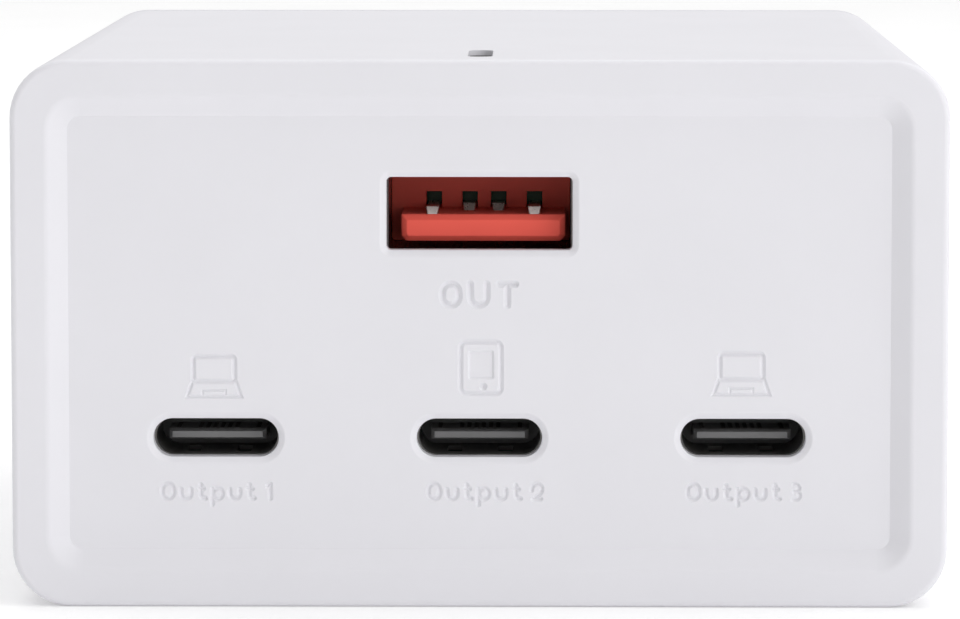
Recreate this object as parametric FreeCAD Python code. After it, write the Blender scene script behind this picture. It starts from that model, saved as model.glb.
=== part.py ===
"""Wall charger with one wide and three narrow output sockets, built piece by piece.

Millimetres. X runs to the right, Y from the front to the back, Z up.
The origin is the centre of the base face.
"""
import FreeCAD
import Part
import math
import os

# Casing
BODY_WIDTH = 64.0
BODY_HEIGHT = 37.5
BODY_DEPTH = 80.0
CORNER_RADIUS = 4.0
WALL = 2.0
FRONT_EDGE_RADIUS = 0.45

# Front panel, sunk into the front behind a sloping wall
RIM_WIDTH = 2.5
RIM_RADIUS = 0.8
SLOPE_RUN = 1.4
PANEL_CORNER_RADIUS = 0.9
PANEL_DEPTH = 0.8
PANEL_THICKNESS = 1.5

# Openings in the front panel
USB_A_HOLE_WIDTH = 12.72
USB_A_HOLE_HEIGHT = 5.02
USB_A_HOLE_RADIUS = 0.35
USB_A_RISE = 8.2
USB_C_HOLE_WIDTH = 8.6
USB_C_HOLE_HEIGHT = 2.66
USB_C_DROP = 7.2
USB_C_END_MARGIN = 10.05
HOLE_CHAMFER = 0.28

# Wide receptacle
USB_A_CAVITY_WIDTH = 12.5
USB_A_CAVITY_HEIGHT = 5.12
USB_A_CAVITY_RADIUS = 0.3
USB_A_REAR_WALL = 2.8
USB_A_TONGUE_WIDTH = 11.25
USB_A_TONGUE_THICKNESS = 1.84
USB_A_TONGUE_LIFT = 0.5
USB_A_TONGUE_SHIFT = 0.24
USB_A_TONGUE_EDGE = 0.35
USB_A_TIP_BEVEL = 0.38
USB_A_POWER_OFFSET = 3.5
USB_A_DATA_OFFSET = 1.0
USB_A_CONTACT_WIDTH = 0.84
USB_A_CONTACT_TIP = 0.62
USB_A_CONTACT_THICKNESS = 0.25
USB_A_CONTACT_RISE = 0.5
USB_A_CONTACT_SAG = 0.22
USB_A_CONTACT_BEND = 0.3
USB_A_POWER_SETBACK = 0.5
USB_A_DATA_SETBACK = 3.8
USB_A_WINDOW_WIDTH = 1.08
USB_A_WINDOW_HEIGHT = 1.12
USB_A_SPRING_OFFSET = 3.1
USB_A_SPRING_WIDTH = 1.6

# Narrow receptacles
USB_C_CAVITY_WIDTH = 8.34
USB_C_CAVITY_HEIGHT = 2.56
USB_C_REAR_WALL = 3.8
USB_C_TONGUE_WIDTH = 6.69
USB_C_TONGUE_THICKNESS = 0.7
USB_C_ROOT_LENGTH = 1.4
USB_C_ROOT_THICKNESS = 1.3
USB_C_TIP_LENGTH = 0.45
USB_C_TIP_WIDTH = 6.2
USB_C_TIP_THICKNESS = 0.42
USB_C_CONTACT_OFFSETS = (-2.75, -1.25, -0.75, -0.25, 0.25, 0.75, 1.25, 2.75)
USB_C_CONTACT_WIDTH = 0.28
USB_C_CONTACT_THICKNESS = 0.03
USB_C_CONTACT_SETBACK = 0.9
USB_C_SPRING_OFFSET = 1.75
USB_C_SPRING_WIDTH = 1.0

# Both kinds of receptacle
SHELL_THICKNESS = 0.3
SHELL_LENGTH = 10.0
TONGUE_SETBACK = 0.7
INSULATOR_CLEARANCE = 0.03
SPRING_WINDOW_LENGTH = 3.0
SPRING_WINDOW_SETBACK = 1.8

# Status light in the top wall
LIGHT_SLOT_WIDTH = 1.7
LIGHT_SLOT_LENGTH = 9.0
LIGHT_SLOT_SETBACK = 4.2
LIGHT_SUNK = 0.35
LIGHT_CLEARANCE = 0.04
LIGHT_FLANGE_WIDTH = 3.4
LIGHT_FLANGE_THICKNESS = 0.8
LIGHT_FLANGE_MARGIN = 0.9
LIGHT_STEM_DEPTH = 1.8
LED_WIDTH = 1.6
LED_HEIGHT = 0.8
LED_THICKNESS = 0.6
LED_GAP = 0.2
LED_DROP = 3.0

# Boards
BOARD_CLEARANCE = 0.25
PORT_BOARD_THICKNESS = 1.2
MAIN_BOARD_THICKNESS = 1.6
MAIN_BOARD_LIFT = 4.0
BOARD_GAP = 0.5
BOARD_CORNER_CUT = 1.4
ISOLATION_SLOT_WIDTH = 1.6
ISOLATION_SLOT_LENGTH = 7.0
POST_SIZE = 3.2
RAIL_WIDTH = 2.6
HEADER_WIDTH = 20.0
HEADER_DEPTH = 2.5
HEADER_HEIGHT = 2.6

# Rear cover and plug
COVER_THICKNESS = 2.6
COVER_EDGE_BEVEL = 0.8
SEAM_GROOVE_DEPTH = 0.3
SEAM_GROOVE_WIDTH = 0.45
LIP_LENGTH = 2.5
LIP_THICKNESS = 1.2
LIP_CLEARANCE = 0.1
STOP_WIDTH = 3.0
STOP_HEIGHT = 5.0
STOP_INSET = 8.0
BLADE_SPACING = 12.7
BLADE_WIDTH = 6.35
BLADE_THICKNESS = 1.52
BLADE_LENGTH = 17.5
BLADE_TIP_RADIUS = 1.6
BLADE_TIP_BEVEL = 0.35
BLADE_TAIL = 3.0
BLADE_CLEARANCE = 0.02
BLADE_BLOCK_WALL = 3.0
BLADE_BLOCK_DEPTH = 5.0
LEAD_WIDTH = 3.0
LEAD_THICKNESS = 0.6
LEAD_FOOT = 2.4

# Heat spreader, insulating sheet and pad
SPREADER_THICKNESS = 0.8
SPREADER_CLEARANCE = 0.05
SPREADER_LENGTH = 52.0
SPREADER_SETBACK = 1.2
SPREADER_BOARD_GAP = 5.9
SHEET_THICKNESS = 0.4
PAD_THICKNESS = 1.2
PAD_MARGIN = 1.0

# Transformer
CORE_WIDTH = 22.0
CORE_DEPTH = 14.0
CORE_YOKE = 3.6
CORE_LEG = 2.6
CORE_CENTRE_LEG = 6.6
BOBBIN_TUBE = 0.8
BOBBIN_FLANGE = 1.0
BOBBIN_CLEARANCE = 0.08
BOBBIN_RAIL_DEPTH = 2.2
CORE_STANDOFF = 1.0
WINDING_MARGIN = 0.4
WINDING_CORNER_RADIUS = 1.6

# Other components on the main board
ROW_GAP = 1.0
BULK_DIAMETER = 12.5
BULK_HEIGHT = 17.0
BULK_COUNT = 2
OUTPUT_DIAMETER = 6.3
OUTPUT_HEIGHT = 11.0
OUTPUT_COUNT = 3
INDUCTOR_SIZE = 7.0
INDUCTOR_HEIGHT = 4.5
INDUCTOR_COUNT = 2
CHOKE_WIDTH = 12.5
CHOKE_HEIGHT = 13.0
CHOKE_DEPTH = 4.4
CHOKE_LIMB = 2.6
CHOKE_WIRE = 0.9
CHOKE_COIL_MARGIN = 0.4
X_CAPACITOR_WIDTH = 13.0
X_CAPACITOR_DEPTH = 6.0
X_CAPACITOR_HEIGHT = 11.5
Y_CAPACITOR_WIDTH = 7.0
Y_CAPACITOR_DEPTH = 4.0
Y_CAPACITOR_HEIGHT = 6.0
FUSE_WIDTH = 8.4
FUSE_DEPTH = 4.2
FUSE_HEIGHT = 7.6
BRIDGE_WIDTH = 7.5
BRIDGE_DEPTH = 6.4
BRIDGE_HEIGHT = 2.6
OPTO_WIDTH = 4.6
OPTO_DEPTH = 6.5
OPTO_HEIGHT = 3.4
SWITCH_WIDTH = 6.0
SWITCH_DEPTH = 8.0
RECTIFIER_WIDTH = 5.0
RECTIFIER_DEPTH = 6.0
CONTROLLER_SIZE = 5.0
CHIP_THICKNESS = 0.9
MOULD_EDGE = 0.4
LEG_WIDTH = 0.8
LEG_THICKNESS = 0.3
LEG_REACH = 0.9

# Planes and faces that several pieces share
FRONT_Y = -BODY_DEPTH / 2
REAR_Y = BODY_DEPTH / 2
SEAM_Y = REAR_Y - COVER_THICKNESS
PANEL_Y = FRONT_Y + PANEL_DEPTH
INNER_Y = PANEL_Y + PANEL_THICKNESS
MID_Z = BODY_HEIGHT / 2
INNER_HALF = BODY_WIDTH / 2 - WALL
FLOOR_Z = WALL
CEILING_Z = BODY_HEIGHT - WALL
CAVITY_RADIUS = CORNER_RADIUS - WALL
RECESS_WIDTH = BODY_WIDTH - 2 * RIM_WIDTH
RECESS_HEIGHT = BODY_HEIGHT - 2 * RIM_WIDTH
PANEL_WIDTH = RECESS_WIDTH - 2 * SLOPE_RUN
PANEL_HEIGHT = RECESS_HEIGHT - 2 * SLOPE_RUN
USB_A_Z = MID_Z + USB_A_RISE
USB_C_Z = MID_Z - USB_C_DROP
USB_A_CONTACTS = ((USB_A_TONGUE_SHIFT - USB_A_POWER_OFFSET, USB_A_POWER_SETBACK),
                  (USB_A_TONGUE_SHIFT - USB_A_DATA_OFFSET, USB_A_DATA_SETBACK),
                  (USB_A_TONGUE_SHIFT + USB_A_DATA_OFFSET, USB_A_DATA_SETBACK),
                  (USB_A_TONGUE_SHIFT + USB_A_POWER_OFFSET, USB_A_POWER_SETBACK))
USB_C_SPACING = PANEL_WIDTH / 2 - USB_C_END_MARGIN
USB_C_PLACES = (("usb_c1", -USB_C_SPACING), ("usb_c2", 0.0), ("usb_c3", USB_C_SPACING))
SHELL_BACK_Y = INNER_Y + SHELL_LENGTH
TONGUE_Y = INNER_Y + TONGUE_SETBACK
USB_A_TONGUE_TOP = USB_A_Z - USB_A_CAVITY_HEIGHT / 2 + USB_A_TONGUE_LIFT + USB_A_TONGUE_THICKNESS
PORT_BOARD_BACK_Y = SHELL_BACK_Y + PORT_BOARD_THICKNESS
LED_TOP_Z = CEILING_Z - LED_DROP
BOARD_Z = FLOOR_Z + MAIN_BOARD_LIFT
BOARD_TOP_Z = BOARD_Z + MAIN_BOARD_THICKNESS
BOARD_FRONT_Y = PORT_BOARD_BACK_Y + BOARD_GAP
STOP_Y = SEAM_Y - LIP_LENGTH - BOARD_GAP
BOARD_HALF = INNER_HALF - BOARD_CLEARANCE
SHEET_Z = CEILING_Z - SPREADER_CLEARANCE - SPREADER_THICKNESS - SHEET_THICKNESS
SHEET_HALF = INNER_HALF - SPREADER_CLEARANCE - SPREADER_THICKNESS - SHEET_THICKNESS
BLADE_TAIL_Y = SEAM_Y - BLADE_BLOCK_DEPTH - BLADE_TAIL

# Rows of components, counted from the front edge and from the rear edge of the main board
OUTPUT_ROW_Y = PORT_BOARD_BACK_Y + HEADER_DEPTH + ROW_GAP + max(OUTPUT_DIAMETER, INDUCTOR_SIZE) / 2
OUTPUT_ROW_END = OUTPUT_ROW_Y + max(OUTPUT_DIAMETER, INDUCTOR_SIZE) / 2
BOBBIN_HALF_WIDTH = CORE_WIDTH / 2 - CORE_LEG - BOBBIN_CLEARANCE
BOBBIN_HALF_DEPTH = CORE_DEPTH / 2 + BOBBIN_CLEARANCE + BOBBIN_RAIL_DEPTH
TRANSFORMER_Y = OUTPUT_ROW_END + ROW_GAP + BOBBIN_HALF_DEPTH
TRANSFORMER_X = 0.0
CORE_BASE_Z = BOARD_TOP_Z + CORE_STANDOFF
CORE_TOP_Z = SHEET_Z - PAD_THICKNESS
LEFT_EDGE_X = -SHEET_HALF + ROW_GAP
RIGHT_EDGE_X = SHEET_HALF - ROW_GAP
FUSE_Y = STOP_Y - ROW_GAP - FUSE_DEPTH / 2
CHOKE_HALF_DEPTH = CHOKE_DEPTH / 2 + CHOKE_WIRE
FILTER_ROW_Y = FUSE_Y - FUSE_DEPTH / 2 - ROW_GAP - CHOKE_HALF_DEPTH
BRIDGE_Y = BLADE_TAIL_Y - LEAD_FOOT - ROW_GAP - LEG_REACH - BRIDGE_DEPTH / 2

CUT_OVER = 0.5
TOLERANCE = 1e-5


def vec(x, y, z):
    return FreeCAD.Vector(x, y, z)


def box(x0, x1, y0, y1, z0, z1):
    return Part.makeBox(x1 - x0, y1 - y0, z1 - z0, vec(x0, y0, z0))


def centred_box(width, depth, height, x, y, z):
    """Block centred on x and y that stands on z."""
    return box(x - width / 2, x + width / 2, y - depth / 2, y + depth / 2, z, z + height)


def outline(width, height, radius, y, x=0.0, z=0.0):
    """Closed rounded rectangle at one y; a radius of half the height makes a slot shape."""
    corners = []
    for index, (side, level) in enumerate(((1, 1), (-1, 1), (-1, -1), (1, -1))):
        cx = x + side * (width / 2 - radius)
        cz = z + level * (height / 2 - radius)
        points = []
        for step in (0, 45, 90):
            angle = math.radians(90 * index + step)
            points.append(vec(cx + radius * math.cos(angle), y, cz + radius * math.sin(angle)))
        corners.append(points)
    edges = []
    for index, points in enumerate(corners):
        edges.append(Part.Arc(*points).toShape())
        following = corners[(index + 1) % 4][0]
        if points[2].distanceToPoint(following) > TOLERANCE:
            edges.append(Part.LineSegment(points[2], following).toShape())
    return Part.Wire(edges)


def prism(width, height, radius, y0, y1, x=0.0, z=0.0):
    """Rounded rectangle carried from y0 to y1."""
    return Part.Face(outline(width, height, radius, y0, x, z)).extrude(vec(0, y1 - y0, 0))


def pillar(width, depth, radius, x, y, z0, z1):
    """Rounded rectangle in plan, carried from z0 up to z1."""
    solid = prism(width, depth, radius, 0.0, z1 - z0)
    solid.rotate(vec(0, 0, 0), vec(1, 0, 0), 90)
    solid.translate(vec(x, y, z0))
    return solid


def frustum(width, height, radius, y0, y1, shrink, x=0.0, z=0.0):
    """Rounded block whose outline draws in by the same amount all round on its way from y0 to y1."""
    half_w = width / 2
    half_h = height / 2
    flat_w = half_w - radius
    flat_h = half_h - radius
    tall = [vec(x - flat_w, y0, z - half_h), vec(x - flat_w, y0, z + half_h),
            vec(x - flat_w, y1, z + half_h - shrink), vec(x - flat_w, y1, z - half_h + shrink)]
    solid = Part.Face(Part.makePolygon(tall + tall[:1])).extrude(vec(2 * flat_w, 0, 0))
    levels = (0.0,)
    if flat_h > TOLERANCE:
        wide = [vec(x - half_w, y0, z - flat_h), vec(x + half_w, y0, z - flat_h),
                vec(x + half_w - shrink, y1, z - flat_h), vec(x - half_w + shrink, y1, z - flat_h)]
        solid = solid.fuse(Part.Face(Part.makePolygon(wide + wide[:1])).extrude(vec(0, 0, 2 * flat_h)))
        levels = (-flat_h, flat_h)
    for side in (-flat_w, flat_w):
        for level in levels:
            cone = Part.makeCone(radius, radius - shrink, y1 - y0, vec(x + side, y0, z + level), vec(0, 1, 0))
            solid = solid.fuse(cone)
    return solid.removeSplitter()


def drawn_in_bar(x, width, tip_width, y0, y1, y2, side):
    """Bar with the given side outline of y and z, narrowed in plan from y1 to its tip at y0."""
    half = width / 2
    tip = tip_width / 2
    plan = [(x - tip, y0), (x + tip, y0), (x + half, y1), (x + half, y2), (x - half, y2), (x - half, y1)]
    low = min(z for _, z in side)
    high = max(z for _, z in side)
    seen_above = [vec(px, py, low) for px, py in plan + plan[:1]]
    seen_sideways = [vec(x - half, py, pz) for py, pz in side + side[:1]]
    block = Part.Face(Part.makePolygon(seen_above)).extrude(vec(0, 0, high - low))
    return block.common(Part.Face(Part.makePolygon(seen_sideways)).extrude(vec(width, 0, 0)))


def edges_at(shape, y, half_width=None, half_height=None):
    """Edges lying at one y, if asked only those within a window about the middle of the body."""
    found = []
    for edge in shape.Edges:
        limits = edge.BoundBox
        if abs(limits.YMin - y) > TOLERANCE or abs(limits.YMax - y) > TOLERANCE:
            continue
        if half_width and max(abs(limits.XMin), abs(limits.XMax)) > half_width:
            continue
        if half_height and max(abs(limits.ZMin - MID_Z), abs(limits.ZMax - MID_Z)) > half_height:
            continue
        found.append(edge)
    return found


def edges_at_height(shape, z):
    """Edges lying at one height."""
    found = []
    for edge in shape.Edges:
        limits = edge.BoundBox
        if abs(limits.ZMin - z) < TOLERANCE and abs(limits.ZMax - z) < TOLERANCE:
            found.append(edge)
    return found


def socket_cut(width, height, radius, x, z):
    """Hole through the front panel with its sloped mouth."""
    grow = HOLE_CHAMFER + CUT_OVER
    hole = prism(width, height, radius, PANEL_Y - CUT_OVER, INNER_Y + CUT_OVER, x, z)
    mouth = frustum(width + 2 * grow, height + 2 * grow, radius + grow,
                    PANEL_Y - CUT_OVER, PANEL_Y + HOLE_CHAMFER, grow, x, z)
    return hole.fuse(mouth)


def light_slot_y():
    return FRONT_Y + LIGHT_SLOT_SETBACK + LIGHT_SLOT_LENGTH / 2


def make_casing():
    """Front rim and four walls in one moulding, open at the back and where the front panel sits."""
    body = prism(BODY_WIDTH, BODY_HEIGHT, CORNER_RADIUS, FRONT_Y, SEAM_Y, z=MID_Z)
    body = body.makeFillet(FRONT_EDGE_RADIUS, edges_at(body, FRONT_Y))

    recess = frustum(RECESS_WIDTH, RECESS_HEIGHT, PANEL_CORNER_RADIUS + SLOPE_RUN,
                     FRONT_Y, PANEL_Y, SLOPE_RUN, z=MID_Z)
    body = body.cut(recess)
    rim_edges = edges_at(body, FRONT_Y, RECESS_WIDTH / 2 + TOLERANCE, RECESS_HEIGHT / 2 + TOLERANCE)
    body = body.makeFillet(RIM_RADIUS, rim_edges)

    cavity = prism(2 * INNER_HALF, CEILING_Z - FLOOR_Z, CAVITY_RADIUS, INNER_Y, SEAM_Y + CUT_OVER, z=MID_Z)
    body = body.cut(cavity).cut(panel_block(PANEL_Y - CUT_OVER, INNER_Y + CUT_OVER))

    ribs = []
    for side in (-1, 1):
        outer = side * (INNER_HALF + WALL / 2)
        post_x = sorted((outer, side * (INNER_HALF - POST_SIZE)))
        lower_post = (FLOOR_Z - WALL / 2, FLOOR_Z + POST_SIZE)
        upper_post = (CEILING_Z - POST_SIZE, CEILING_Z + WALL / 2)
        for low, high in (lower_post, upper_post):
            ribs.append(box(post_x[0], post_x[1], INNER_Y, SHELL_BACK_Y, low, high))
        rail_x = sorted((outer, side * (INNER_HALF - RAIL_WIDTH)))
        ribs.append(box(rail_x[0], rail_x[1], BOARD_FRONT_Y, STOP_Y, FLOOR_Z - WALL / 2, BOARD_Z))
    within_walls = prism(BODY_WIDTH - WALL, BODY_HEIGHT - WALL, CORNER_RADIUS - WALL / 2,
                         PANEL_Y, SEAM_Y, z=MID_Z)
    for rib in ribs:
        body = body.fuse(rib.common(within_walls))

    slot = pillar(LIGHT_SLOT_WIDTH, LIGHT_SLOT_LENGTH, LIGHT_SLOT_WIDTH / 2, 0.0, light_slot_y(),
                  CEILING_Z - CUT_OVER, BODY_HEIGHT + CUT_OVER)
    return body.cut(slot).removeSplitter()


def panel_block(y0, y1):
    """Space that the front panel fills in the front of the casing."""
    return prism(PANEL_WIDTH, PANEL_HEIGHT, PANEL_CORNER_RADIUS, y0, y1, z=MID_Z)


def make_front_panel():
    """Plate at the foot of the sloping wall, with the mouths of the four sockets."""
    panel = panel_block(PANEL_Y, INNER_Y)
    panel = panel.cut(socket_cut(USB_A_HOLE_WIDTH, USB_A_HOLE_HEIGHT, USB_A_HOLE_RADIUS, 0.0, USB_A_Z))
    for _, x in USB_C_PLACES:
        panel = panel.cut(socket_cut(USB_C_HOLE_WIDTH, USB_C_HOLE_HEIGHT, USB_C_HOLE_HEIGHT / 2, x, USB_C_Z))
    return panel


def make_rear_cover():
    """Back plate with its lip, the block that holds the blades and two stops for the main board."""
    step = SEAM_GROOVE_DEPTH
    neck = prism(BODY_WIDTH - 2 * step, BODY_HEIGHT - 2 * step, CORNER_RADIUS - step,
                 SEAM_Y, SEAM_Y + SEAM_GROOVE_WIDTH, z=MID_Z)
    plate = prism(BODY_WIDTH, BODY_HEIGHT, CORNER_RADIUS, SEAM_Y + SEAM_GROOVE_WIDTH, REAR_Y, z=MID_Z)
    plate = plate.makeChamfer(COVER_EDGE_BEVEL, edges_at(plate, REAR_Y))
    cover = plate.fuse(neck)

    lip_half = INNER_HALF - LIP_CLEARANCE
    lip_height = CEILING_Z - FLOOR_Z - 2 * LIP_CLEARANCE
    lip = prism(2 * lip_half, lip_height, CAVITY_RADIUS, SEAM_Y - LIP_LENGTH, SEAM_Y, z=MID_Z)
    inside = lip_half - LIP_THICKNESS
    lip = lip.cut(box(-inside, inside, SEAM_Y - LIP_LENGTH - CUT_OVER, SEAM_Y + CUT_OVER,
                      MID_Z - lip_height / 2 + LIP_THICKNESS, MID_Z + lip_height / 2 - LIP_THICKNESS))
    cover = cover.fuse(lip)

    block_width = BLADE_SPACING + BLADE_THICKNESS + 2 * BLADE_BLOCK_WALL
    block_height = BLADE_WIDTH + 2 * BLADE_BLOCK_WALL
    cover = cover.fuse(box(-block_width / 2, block_width / 2, SEAM_Y - BLADE_BLOCK_DEPTH, SEAM_Y,
                           MID_Z - block_height / 2, MID_Z + block_height / 2))
    for side in (-1, 1):
        stop_x = side * (BOARD_HALF - STOP_INSET)
        cover = cover.fuse(box(stop_x - STOP_WIDTH / 2, stop_x + STOP_WIDTH / 2, STOP_Y, SEAM_Y,
                               BOARD_Z, BOARD_Z + STOP_HEIGHT))
        cover = cover.cut(box(side * BLADE_SPACING / 2 - BLADE_THICKNESS / 2 - BLADE_CLEARANCE,
                              side * BLADE_SPACING / 2 + BLADE_THICKNESS / 2 + BLADE_CLEARANCE,
                              SEAM_Y - BLADE_BLOCK_DEPTH - CUT_OVER, REAR_Y + CUT_OVER,
                              MID_Z - BLADE_WIDTH / 2 - BLADE_CLEARANCE,
                              MID_Z + BLADE_WIDTH / 2 + BLADE_CLEARANCE))
    return cover.removeSplitter()


def make_blade(side):
    """Flat plug blade with rounded tip corners and bevelled tip faces."""
    tip_y = REAR_Y + BLADE_LENGTH
    x = side * BLADE_SPACING / 2
    blade = box(x - BLADE_THICKNESS / 2, x + BLADE_THICKNESS / 2, BLADE_TAIL_Y, tip_y,
                MID_Z - BLADE_WIDTH / 2, MID_Z + BLADE_WIDTH / 2)
    corners = [e for e in edges_at(blade, tip_y) if e.BoundBox.ZLength < TOLERANCE]
    blade = blade.makeFillet(BLADE_TIP_RADIUS, corners)
    flat_ends = [e for e in edges_at(blade, tip_y) if e.BoundBox.ZLength > TOLERANCE]
    return blade.makeChamfer(BLADE_TIP_BEVEL, flat_ends)


def make_lead(side):
    """Folded strip from the tail of a blade down to the main board, with a foot on the board."""
    x = side * BLADE_SPACING / 2
    strip = box(x - LEAD_WIDTH / 2, x + LEAD_WIDTH / 2, BLADE_TAIL_Y - LEAD_THICKNESS, BLADE_TAIL_Y,
                BOARD_TOP_Z, MID_Z + BLADE_WIDTH / 2)
    foot = box(x - LEAD_WIDTH / 2, x + LEAD_WIDTH / 2,
               BLADE_TAIL_Y - LEAD_FOOT, BLADE_TAIL_Y - LEAD_THICKNESS,
               BOARD_TOP_Z, BOARD_TOP_Z + LEAD_THICKNESS)
    return strip.fuse(foot).removeSplitter()


def make_light_pipe():
    """Clear bar in the top slot, with a flange under the top wall and a stem to the lamp."""
    y = light_slot_y()
    head_width = LIGHT_SLOT_WIDTH - 2 * LIGHT_CLEARANCE
    head_length = LIGHT_SLOT_LENGTH - 2 * LIGHT_CLEARANCE
    head = pillar(head_width, head_length, head_width / 2, 0.0, y, CEILING_Z, BODY_HEIGHT - LIGHT_SUNK)
    flange_length = LIGHT_SLOT_LENGTH + 2 * LIGHT_FLANGE_MARGIN
    flange = centred_box(LIGHT_FLANGE_WIDTH, flange_length, LIGHT_FLANGE_THICKNESS, 0.0, y,
                         CEILING_Z - LIGHT_FLANGE_THICKNESS)
    stem_y = SHELL_BACK_Y - LED_GAP
    stem = box(-LED_WIDTH / 2, LED_WIDTH / 2, stem_y - LIGHT_STEM_DEPTH, stem_y,
               LED_TOP_Z + LED_GAP, CEILING_Z - LIGHT_FLANGE_THICKNESS)
    return head.fuse(flange).fuse(stem).removeSplitter()


def make_status_led():
    return box(-LED_WIDTH / 2, LED_WIDTH / 2, SHELL_BACK_Y - LED_THICKNESS, SHELL_BACK_Y,
               LED_TOP_Z - LED_HEIGHT, LED_TOP_Z)


def make_shell(width, height, radius, x, z, window_offset, window_width, window_foot):
    """Folded metal sleeve with a pair of spring windows that run up from window_foot through its top."""
    thick = 2 * SHELL_THICKNESS
    sleeve = prism(width + thick, height + thick, radius + SHELL_THICKNESS, INNER_Y, SHELL_BACK_Y, x, z)
    sleeve = sleeve.cut(prism(width, height, radius, INNER_Y - CUT_OVER, SHELL_BACK_Y + CUT_OVER, x, z))
    window_y = INNER_Y + SPRING_WINDOW_SETBACK
    for side in (-1, 1):
        middle = x + side * window_offset
        sleeve = sleeve.cut(box(middle - window_width / 2, middle + window_width / 2,
                                window_y, window_y + SPRING_WINDOW_LENGTH,
                                window_foot, z + height / 2 + thick))
    return sleeve


def make_usb_a_shell():
    return make_shell(USB_A_CAVITY_WIDTH, USB_A_CAVITY_HEIGHT, USB_A_CAVITY_RADIUS, 0.0, USB_A_Z,
                      USB_A_SPRING_OFFSET, USB_A_SPRING_WIDTH, USB_A_Z)


def make_usb_a_insulator():
    """Rear wall with four contact windows, and the tongue in front, bevelled below and at its tip."""
    wall_y = SHELL_BACK_Y - USB_A_REAR_WALL
    slack = 2 * INSULATOR_CLEARANCE
    body = prism(USB_A_CAVITY_WIDTH - slack, USB_A_CAVITY_HEIGHT - slack,
                 USB_A_CAVITY_RADIUS - INSULATOR_CLEARANCE, wall_y, SHELL_BACK_Y, 0.0, USB_A_Z)
    foot_z = USB_A_TONGUE_TOP - USB_A_TONGUE_THICKNESS
    tongue = box(USB_A_TONGUE_SHIFT - USB_A_TONGUE_WIDTH / 2, USB_A_TONGUE_SHIFT + USB_A_TONGUE_WIDTH / 2,
                 TONGUE_Y, wall_y, foot_z, USB_A_TONGUE_TOP)
    lower_edges = [e for e in edges_at_height(tongue, foot_z) if e.BoundBox.YLength > TOLERANCE]
    tongue = tongue.makeChamfer(USB_A_TONGUE_EDGE, lower_edges)
    tongue = tongue.makeChamfer(USB_A_TIP_BEVEL, edges_at(tongue, TONGUE_Y))
    body = body.fuse(tongue)
    half = USB_A_WINDOW_WIDTH / 2
    for x, _ in USB_A_CONTACTS:
        body = body.cut(box(x - half, x + half, wall_y - TOLERANCE, SHELL_BACK_Y + CUT_OVER,
                            USB_A_TONGUE_TOP, USB_A_TONGUE_TOP + USB_A_WINDOW_HEIGHT))
    return body.removeSplitter()


def make_usb_a_contacts():
    """Four strips bowed up off the tongue, bent down onto it in front and led through the windows behind."""
    strips = []
    wall_y = SHELL_BACK_Y - USB_A_REAR_WALL
    bow_z = USB_A_TONGUE_TOP + USB_A_CONTACT_RISE
    tail_z = bow_z - USB_A_CONTACT_SAG
    thick = USB_A_CONTACT_THICKNESS
    for x, setback in USB_A_CONTACTS:
        y0 = TONGUE_Y + setback
        y1 = y0 + USB_A_CONTACT_BEND
        side = [(y0, USB_A_TONGUE_TOP), (y1, bow_z), (wall_y, tail_z), (SHELL_BACK_Y, tail_z),
                (SHELL_BACK_Y, tail_z - thick), (wall_y, tail_z - thick),
                (y1 + thick, bow_z - thick), (y0 + thick, USB_A_TONGUE_TOP)]
        strips.append(drawn_in_bar(x, USB_A_CONTACT_WIDTH, USB_A_CONTACT_TIP, y0, y1, SHELL_BACK_Y, side))
    return Part.makeCompound(strips)


def make_usb_c_shell(x):
    return make_shell(USB_C_CAVITY_WIDTH, USB_C_CAVITY_HEIGHT, USB_C_CAVITY_HEIGHT / 2, x, USB_C_Z,
                      USB_C_SPRING_OFFSET, USB_C_SPRING_WIDTH, USB_C_Z - USB_C_CAVITY_HEIGHT)


def make_usb_c_tongue(x):
    """Rear wall, the thicker root of the tongue, and the thin tongue drawn in to its tip."""
    wall_y = SHELL_BACK_Y - USB_C_REAR_WALL
    slack = 2 * INSULATOR_CLEARANCE
    height = USB_C_CAVITY_HEIGHT - slack
    body = prism(USB_C_CAVITY_WIDTH - slack, height, height / 2, wall_y, SHELL_BACK_Y, x, USB_C_Z)
    root = centred_box(USB_C_TONGUE_WIDTH, USB_C_ROOT_LENGTH, USB_C_ROOT_THICKNESS,
                       x, wall_y - USB_C_ROOT_LENGTH / 2, USB_C_Z - USB_C_ROOT_THICKNESS / 2)
    full_y = TONGUE_Y + USB_C_TIP_LENGTH
    upper = [(TONGUE_Y, USB_C_Z + USB_C_TIP_THICKNESS / 2), (full_y, USB_C_Z + USB_C_TONGUE_THICKNESS / 2),
             (wall_y, USB_C_Z + USB_C_TONGUE_THICKNESS / 2)]
    lower = [(y, 2 * USB_C_Z - z) for y, z in reversed(upper)]
    tongue = drawn_in_bar(x, USB_C_TONGUE_WIDTH, USB_C_TIP_WIDTH, TONGUE_Y, full_y, wall_y, upper + lower)
    return body.fuse(root).fuse(tongue).removeSplitter()


def make_usb_c_contacts(x):
    """Two rows of fine strips on the upper and lower face of the tongue."""
    y0 = TONGUE_Y + USB_C_CONTACT_SETBACK
    y1 = SHELL_BACK_Y - USB_C_REAR_WALL - USB_C_ROOT_LENGTH
    upper = USB_C_Z + USB_C_TONGUE_THICKNESS / 2
    lower = USB_C_Z - USB_C_TONGUE_THICKNESS / 2 - USB_C_CONTACT_THICKNESS
    strips = []
    for offset in USB_C_CONTACT_OFFSETS:
        middle = x + offset
        for z in (upper, lower):
            strips.append(box(middle - USB_C_CONTACT_WIDTH / 2, middle + USB_C_CONTACT_WIDTH / 2,
                              y0, y1, z, z + USB_C_CONTACT_THICKNESS))
    return Part.makeCompound(strips)


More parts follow.
